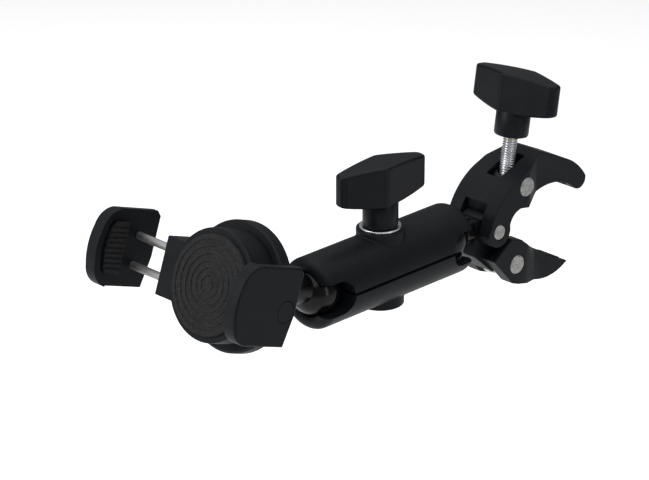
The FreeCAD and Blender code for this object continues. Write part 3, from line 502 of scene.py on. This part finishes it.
def make_clamp_screw():
    """The clamp's screw with its real thread, above a plain journal."""
    pitch, turns, steps = 1.0, 53, 40
    crest, groove, low = 2.98, 2.42, 5.0
    thread = chain("screw_thread", [
        (groove, low), (groove, low + 0.16), (crest, low + 0.48), (crest, low + 0.64),
        (groove, low + pitch),
    ])
    change(
        thread, "SCREW", angle=math.tau, screw_offset=pitch * MM, iterations=turns,
        steps=steps, render_steps=steps,
    )
    smooth(thread, 25)
    top = low + turns * pitch
    journal = turned("screw_journal", [
        (0, -5.9), (2.1, -5.9), (2.5, -5.5), (2.5, 4.1), (2.9, 4.5), (2.9, 4.8),
        (groove, 5.3), (groove, 6.2), (0, 6.2),
    ])
    end = turned("screw_end", [
        (0, top - 0.6), (groove, top - 0.6), (groove, top + 1.0), (2.1, top + 1.4), (0, top + 1.4),
    ])
    screw = join("threaded_clamp_screw", [thread, journal, end])
    face_out(screw)
    put(screw, SCREW_FRAME)
    settle(screw, "zinc_steel", "screw_knob", "clamp_screw")


def make_base_screws():
    """Cross-head screws that hold the round plate on the cradle."""
    first = turned("cross_head_plate_screws", [
        (0, 0), (2.2, 0), (2.6, -0.15), (2.8, -0.5), (2.8, -3.0), (1.5, -3.0), (1.5, -10.8), (0, -10.8),
    ], 40)
    recess = (2.9 * MM, 0.62 * MM, 2.4 * MM)
    blade = fresh("recess_blade", bpy.ops.mesh.primitive_cube_add, size=1, scale=recess)
    bpy.ops.object.transform_apply(location=False, rotation=False, scale=True)
    for degrees in (0, 90):
        blade.rotation_euler = (0, 0, math.radians(degrees))
        change(first, "BOOLEAN", operation="DIFFERENCE", object=blade, solver="EXACT")
    bpy.data.objects.remove(blade)
    smooth(first)
    ring, heads = 19.0, -39.5
    spots = []
    for index in range(4):
        angle = math.radians(45 + 90 * index)
        spot = shift(heads, ring * math.cos(angle), ring * math.sin(angle))
        as_driven = spin(17 + 31 * index, "Z")
        spots.append(CRADLE_FRAME @ spot @ spin(90, "Y") @ as_driven)
    settle(repeat(first, spots), "zinc_steel", "cradle", "base_screws")


def make_arm_bolt():
    """Hexagon bolt through the arm, chamfered at both ends, clear of the knob's bore when tight."""
    head = fresh(
        "bolt_head", bpy.ops.mesh.primitive_cylinder_add, vertices=6, radius=6.8 * MM, depth=5 * MM,
    )
    put(head, shift(0, 0, -12.9) @ spin(30, "Z"))
    change(
        head, "BEVEL", width=0.45 * MM, segments=2, limit_method="ANGLE", angle_limit=math.radians(70),
    )
    shaft = turned("bolt_shaft", [(0, -10.6), (4, -10.6), (4, 24.7), (3.5, 25.2), (0, 25.2)])
    bolt = join("chamfered_arm_bolt", [head, shaft])
    smooth(bolt)
    put(bolt, ARM_FRAME @ shift(0, 0, -0.5))
    settle(bolt, SLOT_OF["arm_bolt"], "arm_half", "arm_bolt")


def round_tips(plan, reach):
    """Rounds the long edges at both ends of a knob's plan."""
    bpy.ops.object.mode_set(mode="EDIT")
    bpy.ops.mesh.select_mode(type="EDGE")
    bpy.ops.mesh.select_all(action="DESELECT")
    bpy.ops.object.mode_set(mode="OBJECT")
    for edge in plan.data.edges:
        ends = [plan.data.vertices[index].co for index in edge.vertices]
        edge.select = abs(ends[0].y - ends[1].y) > MM and abs(ends[0].x) > (reach - 1) * MM
    bpy.ops.object.mode_set(mode="EDIT")
    bpy.ops.mesh.bevel(offset=1.8 * MM, segments=4, affect="EDGES")
    bpy.ops.object.mode_set(mode="OBJECT")


def make_knobs():
    """T knobs on stems: crowned top, bowed underside and an off-centre crease on each side."""
    reach, tip, crease, peak = 20.5, 2.5, 2.5, 7.6
    foot, bow, top, crown = 9.7, 2.5, 26.1, 1.3
    places = [reach * (step / 12 - 1) for step in range(25)]
    below = [(x, foot + bow * (x / reach) ** 2) for x in places]
    above = [(x, top - crown * (x / reach) ** 2) for x in reversed(places)]
    wing = slab("knob_wing", below + above, -12, 12)
    plan = slab("knob_plan", [
        (-reach, -tip), (-crease, -peak), (reach, -tip), (reach, tip), (crease, peak), (-reach, tip),
    ], -30, -5)
    round_tips(plan, reach)
    put(plan, spin(-90, "X"))
    change(wing, "BOOLEAN", operation="INTERSECT", object=plan, solver="EXACT")
    bpy.data.objects.remove(plan)
    change(
        wing, "BEVEL", width=1.0 * MM, segments=3, limit_method="ANGLE", angle_limit=math.radians(24),
        use_clamp_overlap=False,
    )
    face_out(wing)
    even_shading(wing)
    stem = turned("knob_stem", [
        (0, 9.05), (5, 9.05), (5, 0), (6.0, 0), (6.7, 0.3), (7.0, 1.0), (7.0, 10.2), (6.2, 11.4),
        (0, 11.4),
    ])
    first = join("winged_arm_knob", [wing, stem])
    pick(first)
    bpy.ops.object.duplicate()
    second = bpy.context.object
    second.name = "winged_clamp_knob"
    for item, node, spot in ((first, "arm_knob", ARM_KNOB), (second, "clamp_knob", CLAMP_KNOB)):
        put(item, spot)
        settle(item, SLOT_OF[node], BODY_OF[node], node)


def make_front_pad():
    """Round rubber pad with raised rings, on the front of the cradle."""
    back, rim, thick, pitch = -57.2, 19.0, 1.5, 2.7
    points = [(0, 0), (rim, 0), (rim, thick - 0.25), (rim - 0.25, thick)]
    ring = [(0, 1.58), (0.35, 1.6), (0.6, 1.2), (1.9, 1.2), (2.15, thick)]
    for count in range(6):
        radius = rim - 1.4 - pitch * count
        points += [(radius - inward, height) for inward, height in ring]
    points.append((0, thick))
    disc = turned("ringed_front_pad", points, 96)
    put(disc, CRADLE_FRAME @ shift(back, 0, 0) @ spin(-90, "Y"))
    settle(disc, "rubber", "cradle", "front_pad")


def grip_bars(spots):
    """Round bars that cut a pad's grip grooves, one in each place."""
    bar = fresh(
        "groove_bar", bpy.ops.mesh.primitive_cylinder_add,
        vertices=20, radius=GROOVE_RADIUS * MM, depth=16 * MM,
    )
    return repeat(bar, spots)


def make_side_pads():
    """Rubber facings of the side jaws, grooved from front to back."""
    along, middle = -64, 0.75
    heights = [middle + GROOVE_PITCH * step for step in range(-4, 5)]
    for node, face in (("fixed_jaw_pad", -25.75), ("sliding_jaw_pad", 45.75)):
        spots = [CRADLE_FRAME @ shift(along, face, height) @ spin(90, "Y") for height in heights]
        soften(node, 0.25, grooves=grip_bars(spots))


def make_claw_pads():
    """Rubber pads of the claw, grooved along the tube."""
    # Each pad's face has a centre, a radius and a middle angle
    for node, centre_x, centre_z, radius, middle, count in (
        ("upper_jaw_pad", -1.67, -7.15, 24.03, 81, 10),
        ("lower_jaw_pad", 30.06, 36.92, 59.2, -117.5, 7),
    ):
        spots = []
        for step in range(count):
            angle = math.radians(middle) + (step - (count - 1) / 2) * GROOVE_PITCH / radius
            across, up = radius * math.cos(angle), radius * math.sin(angle)
            spots.append(shift(centre_x + across, 0, centre_z + up) @ spin(90, "X"))
        soften(node, 0.25, grooves=grip_bars(spots))


def make_window_wall():
    """Blind wall behind the window in the upper claw's back, clear of the hinge's knuckle."""
    low, high = 6.3, 11.3
    front, back, half = 1.0, -0.2, 5.85
    wall = fresh("claw_window_wall", bpy.ops.mesh.primitive_cube_add, size=1)
    wall.scale = Vector((front - back, 2 * half, high - low)) * MM
    wall.location = HINGE + Vector(((front + back) / 2, 0, (low + high) / 2)) * MM
    bpy.ops.object.transform_apply(location=True, rotation=True, scale=True)
    change(wall, "BEVEL", width=0.2 * MM, segments=2)
    settle(wall, "body_plastic", "upper_claw")


def make_hinge_knuckle():
    """Round knuckle of the lower claw about the hinge pin, between the upper claw's cheeks."""
    knuckle = fresh(
        "lower_claw_knuckle", bpy.ops.mesh.primitive_cylinder_add,
        vertices=72, radius=5.9 * MM, depth=10.4 * MM,
    )
    put(knuckle, Matrix.Translation(HINGE) @ spin(90, "X"))
    change(knuckle, "BEVEL", width=0.3 * MM, segments=2, limit_method="ANGLE")
    smooth(knuckle)
    settle(knuckle, "body_plastic", "clamp_base")


make_clamp_screw()
make_base_screws()
make_arm_bolt()
make_knobs()
make_front_pad()
make_side_pads()
make_claw_pads()
make_window_wall()
make_hinge_knuckle()
stretch("arm_spring", 2)
stretch("upper_return_spring", 1)
stretch("lower_return_spring", 1)

# Broken edges of the other large pieces, in millimetres
for claw in ("upper_jaw", "lower_jaw"):
    soften(claw, 0.35)
for shell in ("arm_upper_shell", "arm_lower_shell"):
    soften(shell, 0.25, held_back=True)
for jaw in ("fixed_jaw", "sliding_jaw"):
    soften(jaw, 0.3, held_back=True)
for wall in ("cradle_body", "cradle_cover"):
    soften(wall, 0.4)
for cap in ("fixed_jaw_cap", "sliding_jaw_cap"):
    soften(cap, 0.5, steps=3)
soften("arm_washer", 0.25)


def make_camera():
    """Long lens at the photograph's angle, aimed so that the cradle's ball keeps its place."""
    turn, height = math.radians(45), math.radians(23)
    focal_px = 3347.5
    right = Vector((math.cos(turn), -math.sin(turn), 0))
    rise = math.sin(height)
    up = Vector((math.sin(turn) * rise, math.cos(turn) * rise, math.cos(height)))
    back = right.cross(up)
    ball = Vector((-3.55, 19.07, 1274.96)) * MM  # from the camera: right, down and away
    lens = bpy.data.cameras.new("camera")
    lens.sensor_width = SENSOR_MM
    lens.lens = SENSOR_MM * focal_px / PHOTO_WIDTH
    lens.clip_start, lens.clip_end = 0.05, 20
    camera = bpy.data.objects.new("camera", lens)
    spot = CRADLE_BALL - right * ball.x + up * ball.y + back * ball.z
    camera.matrix_world = Matrix.Translation(spot) @ Matrix((right, up, back)).transposed().to_4x4()
    bpy.context.collection.objects.link(camera)
    bpy.context.scene.camera = camera
    return right, up, back


def soft_light(name, spot, aim, width, depth, watts):
    """A rectangular light that faces a place."""
    lamp = bpy.data.lights.new(name, "AREA")
    lamp.shape = "RECTANGLE"
    lamp.size, lamp.size_y = width, depth
    lamp.energy = watts
    item = bpy.data.objects.new(name, lamp)
    facing = (aim - spot).to_track_quat("-Z", "Y").to_matrix().to_4x4()
    item.matrix_world = Matrix.Translation(spot) @ facing
    bpy.context.collection.objects.link(item)


def light_studio(right, up, back):
    """White surround, a broad light overhead, one at the left and an upright strip at the right."""
    aim = Vector((-0.09, 0, 0.02))
    world = bpy.data.worlds.new("studio")
    world.use_nodes = True
    surround = world.node_tree.nodes["Background"].inputs
    surround["Color"].default_value = (1, 1, 1, 1)
    surround["Strength"].default_value = 0.26
    bpy.context.scene.world = world
    soft_light("top_light", aim + Vector((0, 0, 0.9)), aim, 1.8, 1.8, 21)
    soft_light("left_light", aim - right * 0.8 + back * 0.5 + up * 0.25, aim, 0.5, 0.7, 8)
    soft_light("right_strip", aim + right * 0.75 + back * 0.6 - up * 0.1, aim, 0.1, 0.55, 1.2)


def lay_floor():
    """Plain pale floor below the part."""
    floor = fresh("floor", bpy.ops.mesh.primitive_plane_add, size=6, location=(0, 0, FLOOR_HEIGHT))
    finish, shader, place = new_finish("pale_floor")
    tone = place.noise(0.4).ramp(0.3, 0.7, (0.90, 0.90, 0.90), (0.93, 0.93, 0.93))
    feed(shader, Base_Color=tone, Roughness=0.9)
    floor.data.materials.append(finish)


RIGHT, UP, BACK = make_camera()
light_studio(RIGHT, UP, BACK)
lay_floor()

bpy.context.scene.view_settings.view_transform = "Standard"
